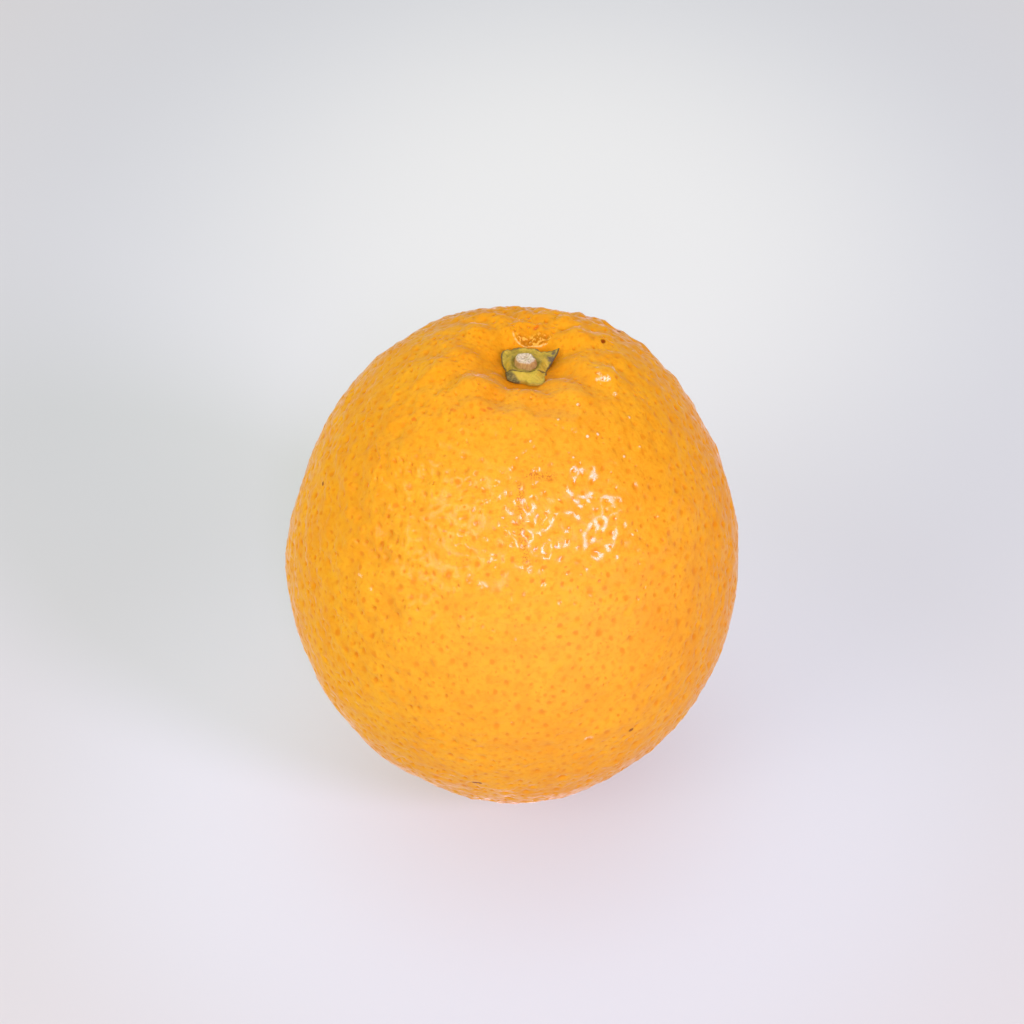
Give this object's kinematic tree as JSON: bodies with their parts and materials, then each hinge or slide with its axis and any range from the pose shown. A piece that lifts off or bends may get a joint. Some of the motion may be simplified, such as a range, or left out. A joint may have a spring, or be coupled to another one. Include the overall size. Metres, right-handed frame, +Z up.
{
  "type": "orange",
  "caption": "Whole fresh orange standing upright on its blossom end: pitted orange peel, creased stem hollow, green calyx button and a short cut stem.",
  "frame": {"origin": "centre of the small flat spot at the blossom end that the fruit rests on", "axes": "+Z up the fruit's own axis from the blossom end to the stem end; +X towards the side that the stem hollow is set off to and the pointed sepal reaches over, -Y towards the side that the two lower sepals hang over"},
  "size_m": [0.0765, 0.0757, 0.0859],
  "materials": {
    "peel": "satin",
    "calyx": "matte",
    "cut_stem": "matte"
  },
  "bodies": {
    "root": {"fruit": "peel", "calyx": "calyx", "stem_stub": "cut_stem"}
  },
  "joints": []
}
